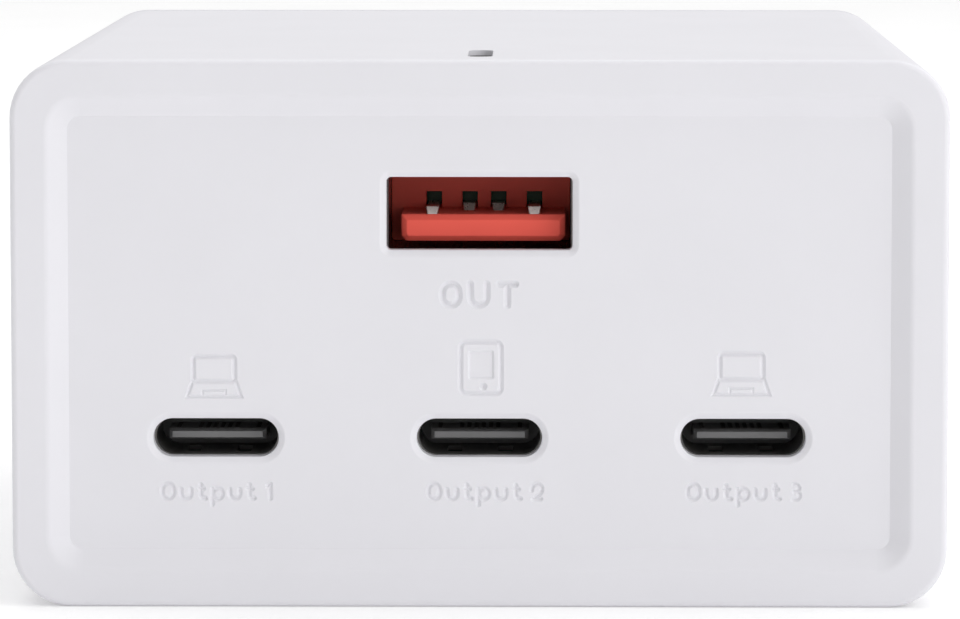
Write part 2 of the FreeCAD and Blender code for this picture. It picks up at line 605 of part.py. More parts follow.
def make_port_board():
    """Upright board behind the receptacles, resting on the four corner posts, notched for the light pipe."""
    low = FLOOR_Z + BOARD_CLEARANCE
    high = CEILING_Z - BOARD_CLEARANCE
    board = box(-BOARD_HALF, BOARD_HALF, SHELL_BACK_Y, PORT_BOARD_BACK_Y, low, high)
    corners = [e for e in board.Edges if e.BoundBox.YLength > TOLERANCE]
    board = board.makeChamfer(BOARD_CORNER_CUT, corners)
    notch = LIGHT_FLANGE_WIDTH / 2 + BOARD_CLEARANCE
    return board.cut(box(-notch, notch, SHELL_BACK_Y - CUT_OVER, PORT_BOARD_BACK_Y + CUT_OVER,
                         CEILING_Z - LIGHT_FLANGE_THICKNESS - BOARD_CLEARANCE, CEILING_Z))


def make_main_board():
    """Level board on the two rails, with a slot that parts the mains side from the output side."""
    board = box(-BOARD_HALF, BOARD_HALF, BOARD_FRONT_Y, STOP_Y, BOARD_Z, BOARD_TOP_Z)
    return board.cut(centred_box(ISOLATION_SLOT_LENGTH, ISOLATION_SLOT_WIDTH, MAIN_BOARD_THICKNESS,
                                 TRANSFORMER_X, TRANSFORMER_Y, BOARD_Z))


def make_board_header():
    return box(-HEADER_WIDTH / 2, HEADER_WIDTH / 2, PORT_BOARD_BACK_Y, PORT_BOARD_BACK_Y + HEADER_DEPTH,
               BOARD_TOP_Z, BOARD_TOP_Z + HEADER_HEIGHT)


def arch(outer_half, top_z, radius, thickness):
    """Sheet folded over three sides of the inside of the casing."""
    y0 = PORT_BOARD_BACK_Y + SPREADER_SETBACK
    y1 = min(y0 + SPREADER_LENGTH, SEAM_Y - LIP_LENGTH - BOARD_GAP)
    base_z = BOARD_TOP_Z + SPREADER_BOARD_GAP
    tall = 2 * (top_z - base_z)
    inner_radius = max(radius - thickness, TOLERANCE * 1e4)
    sheet = prism(2 * outer_half, tall, radius, y0, y1, 0.0, base_z)
    sheet = sheet.cut(prism(2 * (outer_half - thickness), tall - 2 * thickness, inner_radius,
                            y0 - CUT_OVER, y1 + CUT_OVER, 0.0, base_z))
    return sheet.common(box(-outer_half, outer_half, y0, y1, base_z, top_z))


def make_heat_spreader():
    return arch(INNER_HALF - SPREADER_CLEARANCE, CEILING_Z - SPREADER_CLEARANCE,
                CAVITY_RADIUS, SPREADER_THICKNESS)


def make_insulation_sheet():
    radius = max(CAVITY_RADIUS - SPREADER_THICKNESS, TOLERANCE * 1e4)
    return arch(SHEET_HALF + SHEET_THICKNESS, SHEET_Z + SHEET_THICKNESS, radius, SHEET_THICKNESS)


def make_thermal_pad():
    return centred_box(CORE_WIDTH - 2 * PAD_MARGIN, CORE_DEPTH - 2 * PAD_MARGIN, PAD_THICKNESS,
                       TRANSFORMER_X, TRANSFORMER_Y, CORE_TOP_Z)


def window_limits():
    """Lower and upper end of the winding window of the transformer core."""
    return CORE_BASE_Z + CORE_YOKE, CORE_TOP_Z - CORE_YOKE


def make_transformer_core():
    """Two yokes, two outer legs and a centre leg."""
    low, high = window_limits()
    core = centred_box(CORE_WIDTH, CORE_DEPTH, CORE_TOP_Z - CORE_BASE_Z,
                       TRANSFORMER_X, TRANSFORMER_Y, CORE_BASE_Z)
    window = (CORE_WIDTH - CORE_CENTRE_LEG) / 2 - CORE_LEG
    for side in (-1, 1):
        x = TRANSFORMER_X + side * (CORE_CENTRE_LEG + window) / 2
        core = core.cut(centred_box(window, CORE_DEPTH + 2 * CUT_OVER, high - low, x, TRANSFORMER_Y, low))
    return core


def bobbin_tube_size():
    """Outer width and depth of the tube round the centre leg."""
    wall = 2 * (BOBBIN_CLEARANCE + BOBBIN_TUBE)
    return CORE_CENTRE_LEG + wall, CORE_DEPTH + wall


def make_transformer_bobbin():
    """Tube on the centre leg, two flanges, and two rails that stand on the main board."""
    low, high = window_limits()
    low = low + BOBBIN_CLEARANCE
    high = high - BOBBIN_CLEARANCE
    tube_width, tube_depth = bobbin_tube_size()
    bobbin = centred_box(tube_width, tube_depth, high - low, TRANSFORMER_X, TRANSFORMER_Y, low)
    for z in (low, high - BOBBIN_FLANGE):
        flange = centred_box(2 * BOBBIN_HALF_WIDTH, 2 * BOBBIN_HALF_DEPTH, BOBBIN_FLANGE,
                             TRANSFORMER_X, TRANSFORMER_Y, z)
        bobbin = bobbin.fuse(flange)
    for side in (-1, 1):
        rail_y = TRANSFORMER_Y + side * (BOBBIN_HALF_DEPTH - BOBBIN_RAIL_DEPTH / 2)
        rail_height = low + BOBBIN_FLANGE - BOARD_TOP_Z
        bobbin = bobbin.fuse(centred_box(2 * BOBBIN_HALF_WIDTH, BOBBIN_RAIL_DEPTH, rail_height,
                                         TRANSFORMER_X, rail_y, BOARD_TOP_Z))
    hole = centred_box(CORE_CENTRE_LEG + 2 * BOBBIN_CLEARANCE, CORE_DEPTH + 2 * BOBBIN_CLEARANCE,
                       high - low + 2 * CUT_OVER, TRANSFORMER_X, TRANSFORMER_Y, low - CUT_OVER)
    return bobbin.cut(hole).removeSplitter()


def make_transformer_winding():
    """Taped winding that fills the bobbin between its flanges."""
    low, high = window_limits()
    base = low + BOBBIN_CLEARANCE + BOBBIN_FLANGE
    top = high - BOBBIN_CLEARANCE - BOBBIN_FLANGE
    tube_width, tube_depth = bobbin_tube_size()
    winding = pillar(2 * (BOBBIN_HALF_WIDTH - WINDING_MARGIN), 2 * (BOBBIN_HALF_DEPTH - WINDING_MARGIN),
                     WINDING_CORNER_RADIUS, TRANSFORMER_X, TRANSFORMER_Y, base, top)
    return winding.cut(centred_box(tube_width, tube_depth, top - base, TRANSFORMER_X, TRANSFORMER_Y, base))


def make_can(diameter, height, x, y):
    return Part.makeCylinder(diameter / 2, height, vec(x, y, BOARD_TOP_Z))


def make_bulk_capacitors():
    x = LEFT_EDGE_X + BULK_DIAMETER / 2
    cans = []
    for index in range(BULK_COUNT):
        y = OUTPUT_ROW_END + ROW_GAP + BULK_DIAMETER / 2 + index * (BULK_DIAMETER + ROW_GAP)
        cans.append(make_can(BULK_DIAMETER, BULK_HEIGHT, x, y))
    return Part.makeCompound(cans)


def make_output_capacitors():
    cans = []
    for index in range(OUTPUT_COUNT):
        x = LEFT_EDGE_X + OUTPUT_DIAMETER / 2 + index * (OUTPUT_DIAMETER + ROW_GAP)
        cans.append(make_can(OUTPUT_DIAMETER, OUTPUT_HEIGHT, x, OUTPUT_ROW_Y))
    return Part.makeCompound(cans)


def make_moulded_block(width, depth, height, x, y, z):
    """Component body with softened top edges."""
    block = centred_box(width, depth, height, x, y, z)
    return block.makeChamfer(MOULD_EDGE, edges_at_height(block, z + height))


def make_output_inductors():
    blocks = []
    for index in range(INDUCTOR_COUNT):
        x = RIGHT_EDGE_X - INDUCTOR_SIZE / 2 - index * (INDUCTOR_SIZE + ROW_GAP)
        blocks.append(make_moulded_block(INDUCTOR_SIZE, INDUCTOR_SIZE, INDUCTOR_HEIGHT,
                                         x, OUTPUT_ROW_Y, BOARD_TOP_Z))
    return Part.makeCompound(blocks)


def choke_x():
    return RIGHT_EDGE_X - CHOKE_WIRE - CHOKE_WIDTH / 2


def make_choke_core():
    """Square ring standing on the main board."""
    core = centred_box(CHOKE_WIDTH, CHOKE_DEPTH, CHOKE_HEIGHT, choke_x(), FILTER_ROW_Y, BOARD_TOP_Z)
    window = centred_box(CHOKE_WIDTH - 2 * CHOKE_LIMB, CHOKE_DEPTH + 2 * CUT_OVER,
                         CHOKE_HEIGHT - 2 * CHOKE_LIMB, choke_x(), FILTER_ROW_Y, BOARD_TOP_Z + CHOKE_LIMB)
    return core.cut(window)


def make_choke_windings():
    """Two coils, one on each upright limb of the ring."""
    base = BOARD_TOP_Z + CHOKE_LIMB + CHOKE_COIL_MARGIN
    height = CHOKE_HEIGHT - 2 * (CHOKE_LIMB + CHOKE_COIL_MARGIN)
    coils = []
    for side in (-1, 1):
        x = choke_x() + side * (CHOKE_WIDTH - CHOKE_LIMB) / 2
        coil = centred_box(CHOKE_LIMB + 2 * CHOKE_WIRE, CHOKE_DEPTH + 2 * CHOKE_WIRE, height,
                           x, FILTER_ROW_Y, base)
        coils.append(coil.cut(centred_box(CHOKE_LIMB, CHOKE_DEPTH, height, x, FILTER_ROW_Y, base)))
    return Part.makeCompound(coils)


def make_x_capacitor():
    x = LEFT_EDGE_X + X_CAPACITOR_WIDTH / 2
    return make_moulded_block(X_CAPACITOR_WIDTH, X_CAPACITOR_DEPTH, X_CAPACITOR_HEIGHT,
                              x, FILTER_ROW_Y, BOARD_TOP_Z)


def right_column_x():
    return RIGHT_EDGE_X - Y_CAPACITOR_WIDTH / 2


def make_y_capacitor():
    y = TRANSFORMER_Y - Y_CAPACITOR_DEPTH / 2 - ROW_GAP
    return make_moulded_block(Y_CAPACITOR_WIDTH, Y_CAPACITOR_DEPTH, Y_CAPACITOR_HEIGHT,
                              right_column_x(), y, BOARD_TOP_Z)


def make_fuse():
    x = RIGHT_EDGE_X - FUSE_WIDTH / 2
    return make_moulded_block(FUSE_WIDTH, FUSE_DEPTH, FUSE_HEIGHT, x, FUSE_Y, BOARD_TOP_Z)


def make_legged_package(width, depth, height, legs_per_side, x, y):
    """Moulded package with flat legs out of its front and back that bend down to the board."""
    body = make_moulded_block(width, depth, height - LEG_THICKNESS, x, y, BOARD_TOP_Z + LEG_THICKNESS)
    pitch = width / legs_per_side
    for index in range(legs_per_side):
        leg_x = x + (index - (legs_per_side - 1) / 2) * pitch
        for side in (-1, 1):
            edge_y = y + side * depth / 2
            shoulder = centred_box(LEG_WIDTH, LEG_THICKNESS, height / 2,
                                   leg_x, edge_y + side * LEG_THICKNESS / 2, BOARD_TOP_Z)
            foot = centred_box(LEG_WIDTH, LEG_REACH, LEG_THICKNESS,
                               leg_x, edge_y + side * LEG_REACH / 2, BOARD_TOP_Z)
            body = body.fuse(shoulder).fuse(foot)
    return body.removeSplitter()


def make_bridge_rectifier():
    return make_legged_package(BRIDGE_WIDTH, BRIDGE_DEPTH, BRIDGE_HEIGHT, 2, TRANSFORMER_X, BRIDGE_Y)


def make_optocoupler():
    y = TRANSFORMER_Y + OPTO_DEPTH / 2 + LEG_REACH + ROW_GAP
    return make_legged_package(OPTO_WIDTH, OPTO_DEPTH, OPTO_HEIGHT, 2, right_column_x(), y)


def make_power_switch():
    """Flat package on the underside of the main board, on the mains side of the slot."""
    y = TRANSFORMER_Y + ISOLATION_SLOT_WIDTH / 2 + ROW_GAP + SWITCH_DEPTH / 2
    return centred_box(SWITCH_WIDTH, SWITCH_DEPTH, CHIP_THICKNESS,
                       TRANSFORMER_X, y, BOARD_Z - CHIP_THICKNESS)


def make_sync_rectifier():
    """Flat package on the underside of the main board, on the output side of the slot."""
    y = TRANSFORMER_Y - ISOLATION_SLOT_WIDTH / 2 - ROW_GAP - RECTIFIER_DEPTH / 2
    return centred_box(RECTIFIER_WIDTH, RECTIFIER_DEPTH, CHIP_THICKNESS,
                       TRANSFORMER_X, y, BOARD_Z - CHIP_THICKNESS)


def make_port_controllers():
    """One flat chip for each narrow receptacle, on the back of the port board."""
    chips = []
    for _, x in USB_C_PLACES:
        chips.append(box(x - CONTROLLER_SIZE / 2, x + CONTROLLER_SIZE / 2,
                         PORT_BOARD_BACK_Y, PORT_BOARD_BACK_Y + CHIP_THICKNESS,
                         MID_Z - CONTROLLER_SIZE / 2, MID_Z + CONTROLLER_SIZE / 2))
    return Part.makeCompound(chips)


def make_all():
    pieces = {
        "casing": make_casing(),
        "front_panel": make_front_panel(),
        "rear_cover": make_rear_cover(),
        "live_blade": make_blade(-1),
        "neutral_blade": make_blade(1),
        "live_lead": make_lead(-1),
        "neutral_lead": make_lead(1),
        "light_pipe": make_light_pipe(),
        "status_led": make_status_led(),
        "usb_a_shell": make_usb_a_shell(),
        "usb_a_insulator": make_usb_a_insulator(),
        "usb_a_contacts": make_usb_a_contacts(),
        "port_board": make_port_board(),
        "main_board": make_main_board(),
        "board_header": make_board_header(),
        "heat_spreader": make_heat_spreader(),
        "insulation_sheet": make_insulation_sheet(),
        "thermal_pad": make_thermal_pad(),
        "transformer_core": make_transformer_core(),
        "transformer_bobbin": make_transformer_bobbin(),
        "transformer_winding": make_transformer_winding(),
        "bulk_capacitors": make_bulk_capacitors(),
        "output_capacitors": make_output_capacitors(),
        "output_inductors": make_output_inductors(),
        "choke_core": make_choke_core(),
        "choke_windings": make_choke_windings(),
        "x_capacitor": make_x_capacitor(),
        "y_capacitor": make_y_capacitor(),
        "fuse": make_fuse(),
        "bridge_rectifier": make_bridge_rectifier(),
        "optocoupler": make_optocoupler(),
        "power_switch": make_power_switch(),
        "sync_rectifier": make_sync_rectifier(),
        "port_controllers": make_port_controllers(),
    }
    for name, x in USB_C_PLACES:
        pieces[name + "_shell"] = make_usb_c_shell(x)
        pieces[name + "_tongue"] = make_usb_c_tongue(x)
        pieces[name + "_contacts"] = make_usb_c_contacts(x)
    return pieces


os.makedirs("parts", exist_ok=True)
for node, shape in make_all().items():
    shape.exportStep("parts/" + node + ".step")
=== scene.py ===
"""Looks, light and camera for the four-socket wall charger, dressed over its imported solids.

Metres, Z up, the sockets look towards -Y. Sizes that a maker would read off a ruler are given in millimetres
and multiplied by MM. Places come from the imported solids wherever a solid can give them.
"""

import math

import bmesh
import bpy
from mathutils import Matrix, Vector


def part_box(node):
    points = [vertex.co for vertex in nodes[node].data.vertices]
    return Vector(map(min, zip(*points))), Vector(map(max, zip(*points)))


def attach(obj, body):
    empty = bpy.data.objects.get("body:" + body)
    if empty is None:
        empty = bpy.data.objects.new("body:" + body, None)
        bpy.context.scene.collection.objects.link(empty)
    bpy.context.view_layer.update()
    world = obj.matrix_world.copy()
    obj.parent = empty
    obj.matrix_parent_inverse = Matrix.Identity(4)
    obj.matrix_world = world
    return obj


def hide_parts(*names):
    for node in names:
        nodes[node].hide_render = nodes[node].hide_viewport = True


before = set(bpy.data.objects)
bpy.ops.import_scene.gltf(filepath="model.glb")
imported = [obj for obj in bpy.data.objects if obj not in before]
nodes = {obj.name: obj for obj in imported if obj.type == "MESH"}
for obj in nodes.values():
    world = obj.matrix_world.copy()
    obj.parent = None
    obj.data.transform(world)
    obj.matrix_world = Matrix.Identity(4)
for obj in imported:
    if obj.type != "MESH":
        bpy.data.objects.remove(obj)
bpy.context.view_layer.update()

MM = 0.001

# Handling of meshes: how near points merge, and the limits of a normal that sort faces and edges
MERGE_WITHIN = 0.0002 * MM
SMOOTH_UNDER = math.radians(30)
FLAT_WITHIN = math.radians(1)
LOOKS_DOWN = -0.5
LOOKS_TO_FRONT = -0.9999

# Engraving in the front panel
ENGRAVE_STEEPNESS = 0.95
STROKE = 0.42 * MM
FINE_STROKE = 0.34 * MM
FINEST_STROKE = 0.24 * MM
POCKET_SLOPE = 0.16 * MM
GROOVE_FLOOR = 0.05 * MM
CUTTER_PROUD = 0.05 * MM
COLLAR_LIFT = 0.008 * MM
CORNER_STEPS = 5
STROKE_END_STEPS = 4

# Countersunk mouths of the sockets. A hole has its width, height and corner radius.
MOUTH_RADIUS = 0.35 * MM
MOUTH_TILT = math.radians(33)
MOUTH_RUN = 0.37 * MM
MOUTH_STEPS = 4
MOUTH_CORNER_STEPS = 9
MOUTH_CLEAR = 0.02 * MM
WIDE_HOLE = (12.72 * MM, 5.02 * MM, 0.35 * MM)
NARROW_HOLE = (8.60 * MM, 2.66 * MM, 1.33 * MM)
SOCKET_HOLES = {
    "usb_a_shell": WIDE_HOLE,
    "usb_c1_shell": NARROW_HOLE,
    "usb_c2_shell": NARROW_HOLE,
    "usb_c3_shell": NARROW_HOLE,
}

# Soft edges on the tongue of the wide socket
TONGUE_REACH = 6.6 * MM
TONGUE_EDGE = 0.06 * MM
TONGUE_EDGE_STEPS = 3

# Pictograms: left, right, bottom, top on the panel
LAPTOP_SCREENS = {
    "left_laptop": (-19.79 * MM, -16.55 * MM, 15.22 * MM, 17.36 * MM),
    "right_laptop": (16.22 * MM, 19.58 * MM, 15.39 * MM, 17.56 * MM),
}
LAPTOP_CORNER = 0.44 * MM
LAPTOP_BASE_DROP = 1.00 * MM
LAPTOP_BASE_FLARE = 0.47 * MM
TOUCHPAD_WIDTH = 1.80 * MM
TOUCHPAD_HEIGHT = 0.62 * MM
TOUCHPAD_LIFT = 0.10 * MM
TABLET_OUTLINE = (-1.50 * MM, 1.68 * MM, 14.42 * MM, 18.36 * MM)
TABLET_CORNER = 0.56 * MM
TABLET_SCREEN = (-0.80 * MM, 1.03 * MM, 15.58 * MM, 17.62 * MM)
TABLET_SCREEN_CORNER = 0.20 * MM
TABLET_BUTTON = (0.27 * MM, 15.10 * MM)
TABLET_BUTTON_RADIUS = 0.30 * MM
TABLET_BUTTON_SIDES = 24

# Labels: words, middle, then base line, height of a capital, stroke and gap between letters
LARGE_TYPE = (20.40 * MM, 2.02 * MM, 0.56 * MM, 0.22 * MM)
SMALL_TYPE = (7.16 * MM, 1.42 * MM, 0.40 * MM, 0.10 * MM)
LABELS = {
    "wide_socket_label": ("OUT", 0.0, *LARGE_TYPE),
    "left_label": ("Output 1", -18.00 * MM, *SMALL_TYPE),
    "middle_label": ("Output 2", 0.38 * MM, *SMALL_TYPE),
    "right_label": ("Output 3", 18.10 * MM, *SMALL_TYPE),
}

# Letters: width, then strokes with their start, heading and moves, in parts of the height of a capital.
# A move is a way straight on, or a radius with the degrees of a turn to the left.
RING = [0.16, (0.28, -180), 0.16, (0.28, -180)]
BOWL = [0.03, (0.24, -180), 0.03, (0.24, -180)]
LETTERS = {
    " ": (-0.16, []),
    "O": (0.56, [((0.0, 0.42), 90, RING)]),
    "U": (0.56, [((0.0, 1.0), -90, [0.58, (0.28, 180), 0.58])]),
    "T": (0.62, [((-0.10, 0.86), 0, [0.82]), ((0.31, 0.96), -90, [0.96])]),
    "u": (0.48, [((0.0, 0.74), -90, [0.36, (0.24, 180), 0.36])]),
    "t": (0.34, [((0.12, 0.96), -90, [0.62, (0.18, 90), 0.19]), ((-0.08, 0.62), 0, [0.48])]),
    "p": (0.48, [((0.0, 0.37), 90, BOWL), ((-0.01, 0.76), -90, [1.04])]),
    "1": (0.30, [((0.0, 0.66), 40, [0.36]), ((0.24, 1.0), -90, [1.0])]),
    "2": (0.50, [((0.0, 0.42), 90, [0.19, (0.25, -232), 0.45]), ((-0.06, 0.14), 0, [0.64])]),
    "3": (0.46, [((0.0, 0.86), 0, [0.22, (0.17, -180), 0.19]),
                 ((0.05, 0.51), 0, [0.19, (0.185, -180), 0.28])]),
}
TURN_STEP = 15
FEWEST_TURN_STEPS = 3

# Camera, set where the photograph was taken from
CAMERA_PLACE = Vector((4.61, -425.06, 57.40)) * MM
CAMERA_AIM = Vector((0.05, -40.0, 20.48)) * MM
CAMERA_LENS = 212.85
SENSOR_WIDTH = 36.0
NEAREST_SEEN = 0.01
FARTHEST_SEEN = 40.0

# Floor
FLOOR_SIDE = 14.0
FLOOR_DROP = 0.03 * MM
FLOOR_ROUGHNESS = 0.9
FLOOR_DARK = (0.84, 0.84, 0.84)
FLOOR_LIGHT = (0.86, 0.86, 0.86)
FLOOR_GLOW = 0.195
FIBRES_PER_MM = 0.05

# Light: place, aim, width, height, watts
WHITE = (1.0, 1.0, 1.0, 1.0)
FRONT_AIM = (0.0, -0.03, 0.02)
SOFTBOXES = {
    "right_front_softbox": ((0.62, -0.62, 0.30), FRONT_AIM, 0.50, 0.60, 2.34),
    "right_top_softbox": ((0.60, -0.10, 0.65), FRONT_AIM, 0.60, 0.60, 1.90),
    "top_front_softbox": ((0.0, -0.65, 0.70), FRONT_AIM, 0.80, 0.50, 0.70),
    "top_softbox": ((0.0, 0.10, 0.90), (0.0, 0.0, 0.03), 0.90, 0.80, 2.60),
    "left_rear_softbox": ((-0.75, 0.30, 0.30), FRONT_AIM, 0.40, 0.50, 0.95),
    "rear_floor_light": ((0.0, 1.10, 1.20), (0.0, 0.95, 0.0), 2.20, 1.20, 8.70),
}
SURROUND_LIGHT = 0.400

# Patterns in the finishes: noise for a millimetre, its detail, and how far it moves the gloss
TINT_FROM = 0.35
TINT_TO = 0.65
DRIFT_DETAIL = 2.0
GRAIN_DETAIL = 3.0
MOULDED_DRIFT_PER_MM = 0.12
MOULDED_GRAIN_PER_MM = 9.0
MOULDED_GRAIN_HEIGHT = 0.0015 * MM
MOULDED_GLOSS_SPREAD = 0.12
METAL_DRIFT_PER_MM = 0.3
METAL_LINES_PER_MM = 11.0
METAL_LINE_STRETCH = 0.04
METAL_LINE_HEIGHT = 0.0012 * MM
METAL_GLOSS_SPREAD = 0.3


# Handling

def let_go():
    """Leaves edit mode and deselects everything."""
    if bpy.context.mode != "OBJECT":
        bpy.ops.object.mode_set(mode="OBJECT")
    bpy.ops.object.select_all(action="DESELECT")


def take_up(piece):
    """Makes the piece the only selected one, and the active one."""
    let_go()
    piece.select_set(True)
    bpy.context.view_layer.objects.active = piece


def work_on(piece):
    """Opens the piece in edit mode with nothing selected."""
    take_up(piece)
    bpy.ops.object.mode_set(mode="EDIT")
    bpy.ops.mesh.select_all(action="DESELECT")


def put_down():
    bpy.ops.object.mode_set(mode="OBJECT")


def pick(kind, test):
    """In edit mode, selects the vertices, edges or faces that pass the test."""
    mesh = bpy.context.edit_object.data
    shape = bmesh.from_edit_mesh(mesh)
    bpy.context.tool_settings.mesh_select_mode = (kind == "verts", kind == "edges", kind == "faces")
    for element in getattr(shape, kind):
        element.select_set(test(element))
    shape.select_flush_mode()
    bmesh.update_edit_mesh(mesh)


def apply_place(piece):
    take_up(piece)
    bpy.ops.object.transform_apply(location=True, rotation=True, scale=True)


def merged_copy(node, name):
    """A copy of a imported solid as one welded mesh, free to be worked on."""
    piece = bpy.data.objects.new(name, nodes[node].data.copy())
    bpy.context.collection.objects.link(piece)
    work_on(piece)
    bpy.ops.mesh.select_all(action="SELECT")
    bpy.ops.mesh.customdata_custom_splitnormals_clear()
    bpy.ops.mesh.remove_doubles(threshold=MERGE_WITHIN)
    put_down()
    return piece


def cut(piece, cutter):
    """Takes the cutter's shape out of the piece and throws the cutter away."""
    take_up(piece)
    modifier = piece.modifiers.new("cut", "BOOLEAN")
    modifier.operation = "DIFFERENCE"
    modifier.solver = "MANIFOLD"
    modifier.object = cutter
    bpy.ops.object.modifier_apply(modifier=modifier.name)
    bpy.data.objects.remove(cutter, do_unlink=True)


def smooth_flanks(piece):
    """Shades round flanks smoothly while the flats beside them stay flat."""
    take_up(piece)
    bpy.ops.object.shade_smooth_by_angle(angle=SMOOTH_UNDER)
    modifier = piece.modifiers.new("flats", "WEIGHTED_NORMAL")
    modifier.keep_sharp = True
    bpy.ops.object.modifier_apply(modifier=modifier.name)


def set_off_flats(piece):
    """Keeps the faces that look straight to the front flat, and shades the flanks between them smoothly."""
    work_on(piece)
    pick("faces", lambda face: face.normal.y < LOOKS_TO_FRONT)
    bpy.ops.mesh.region_to_loop()
    bpy.ops.mesh.mark_sharp()
    take_up(piece)
    bpy.ops.object.shade_smooth_by_angle(angle=SMOOTH_UNDER, keep_sharp_edges=True)


def ride_root(piece, slot, *replaced):
    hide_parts(*replaced)
    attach(piece, "root")


# Engraving cutters, drawn flat with the reader above them

def flat_plate(name, left, right, bottom, top):
    let_go()
    middle = ((left + right) / 2, (bottom + top) / 2, CUTTER_PROUD)
    bpy.ops.mesh.primitive_plane_add(size=1.0, location=middle)
    plate = bpy.context.object
    plate.name = name
    plate.scale = (right - left, top - bottom, 1.0)
    apply_place(plate)
    return plate


def round_corners(plate, radius, steps=CORNER_STEPS):
    work_on(plate)
    bpy.ops.mesh.select_all(action="SELECT")
    bpy.ops.mesh.bevel(offset=radius, segments=steps, affect="VERTICES")
    bpy.ops.mesh.select_all(action="SELECT")
    bpy.ops.mesh.remove_doubles(threshold=MERGE_WITHIN)
    put_down()


def open_underside(plate):
    """Carries a flat drawing down to the panel and leaves its underside selected in edit mode."""
    work_on(plate)
    bpy.ops.mesh.select_all(action="SELECT")
    collar = COLLAR_LIFT - CUTTER_PROUD
    bpy.ops.mesh.extrude_region_move(TRANSFORM_OT_translate={"value": (0.0, 0.0, collar)})
    bpy.ops.mesh.select_all(action="SELECT")
    bpy.ops.mesh.normals_make_consistent(inside=False)
    pick("faces", lambda face: face.normal.z < LOOKS_DOWN)


def sink(plate, slope):
    """Gives a flat drawing its depth, with sloped walls down to a flat floor."""
    open_underside(plate)
    bpy.ops.mesh.inset(thickness=slope, depth=slope * ENGRAVE_STEEPNESS + COLLAR_LIFT)
    put_down()


def groove(plate, stroke):
    """Turns a filled outline into a groove of the given stroke along its edge."""
    work_on(plate)
    bpy.ops.mesh.select_all(action="SELECT")
    bpy.ops.mesh.inset(thickness=stroke)
    bpy.ops.mesh.delete(type="FACE")
    put_down()
    sink(plate, (stroke - GROOVE_FLOOR) / 2)


def stand_on_panel(cutter):
    """Turns a flat drawing up to face out of the front panel."""
    cutter.rotation_euler = (math.radians(90), 0.0, 0.0)
    cutter.location = (0.0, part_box("front_panel")[0].y, 0.0)
    apply_place(cutter)
    return cutter


def outline_cutter(name, outline, corner, stroke):
    ring = flat_plate(name, *outline)
    round_corners(ring, corner)
    groove(ring, stroke)
    return stand_on_panel(ring)


def pocket_cutter(name, outline, corner):
    plate = flat_plate(name, *outline)
    round_corners(plate, corner)
    sink(plate, POCKET_SLOPE)
    return stand_on_panel(plate)


def laptop_base_cutter(name, screen):
    """The keyboard half, drawn as an outline that flares towards the reader."""
    left, right, bottom = screen[:3]
    middle = (left + right) / 2
    base = flat_plate(name, left, right, bottom - LAPTOP_BASE_DROP, bottom + FINE_STROKE)
    work_on(base)
    for side in (-1, 1):
        pick("verts", lambda corner: corner.co.y < bottom and (corner.co.x - middle) * side > 0)
        bpy.ops.transform.translate(value=(side * LAPTOP_BASE_FLARE, 0.0, 0.0))
    put_down()
    groove(base, FINE_STROKE)
    return stand_on_panel(base)


def touchpad_cutter(name, screen):
    left, right, bottom = screen[:3]
    middle = (left + right) / 2
    foot = bottom - LAPTOP_BASE_DROP + TOUCHPAD_LIFT
    half = TOUCHPAD_WIDTH / 2
    pad = flat_plate(name, middle - half, middle + half, foot, foot + TOUCHPAD_HEIGHT)
    groove(pad, FINEST_STROKE)
    return stand_on_panel(pad)


def button_cutter(name):
    let_go()
    bpy.ops.mesh.primitive_circle_add(vertices=TABLET_BUTTON_SIDES, radius=TABLET_BUTTON_RADIUS,
                                      fill_type="NGON", location=(*TABLET_BUTTON, CUTTER_PROUD))
    dot = bpy.context.object
    dot.name = name
    apply_place(dot)
    sink(dot, TABLET_BUTTON_RADIUS - GROOVE_FLOOR)
    return stand_on_panel(dot)


def stroke_cutter(name, start, heading, moves, stroke):
    """One stroke of a letter, drawn as a ribbon along its moves and sunk to a groove."""
    let_go()
    place = Vector((*start, CUTTER_PROUD))
    ahead = Vector((math.cos(math.radians(heading)), math.sin(math.radians(heading)), 0.0))
    bpy.ops.mesh.primitive_plane_add(size=stroke, location=place + ahead * stroke / 2,
                                     rotation=(0.0, 0.0, math.radians(heading)))
    ribbon = bpy.context.object
    ribbon.name = name
    apply_place(ribbon)
    work_on(ribbon)
    pick("verts", lambda corner: (corner.co - place).dot(ahead) > stroke / 2)
    bpy.ops.mesh.delete(type="VERT")
    bpy.ops.mesh.select_all(action="SELECT")
    for move in moves:
        if isinstance(move, tuple):
            radius, turn = move
            left = Vector((-ahead.y, ahead.x, 0.0)) * math.copysign(1.0, turn)
            centre = place + left * radius
            steps = max(FEWEST_TURN_STEPS, round(abs(turn) / TURN_STEP))
            bpy.ops.mesh.spin(steps=steps, angle=-math.radians(turn), center=centre, axis=(0.0, 0.0, 1.0))
            turned = Matrix.Rotation(math.radians(turn), 3, "Z")
            place = centre + turned @ (place - centre)
            ahead = turned @ ahead
        else:
            bpy.ops.mesh.extrude_region_move(TRANSFORM_OT_translate={"value": ahead * move})
            place = place + ahead * move
    bpy.ops.mesh.select_all(action="SELECT")
    bpy.ops.mesh.remove_doubles(threshold=MERGE_WITHIN)
    pick("verts", lambda corner: len(corner.link_edges) == 2)
    bpy.ops.mesh.bevel(offset=stroke / 2, segments=STROKE_END_STEPS, affect="VERTICES", clamp_overlap=True)
    bpy.ops.mesh.select_all(action="SELECT")
    bpy.ops.mesh.remove_doubles(threshold=MERGE_WITHIN)
    put_down()
    sink(ribbon, (stroke - GROOVE_FLOOR) / 2)
    return stand_on_panel(ribbon)


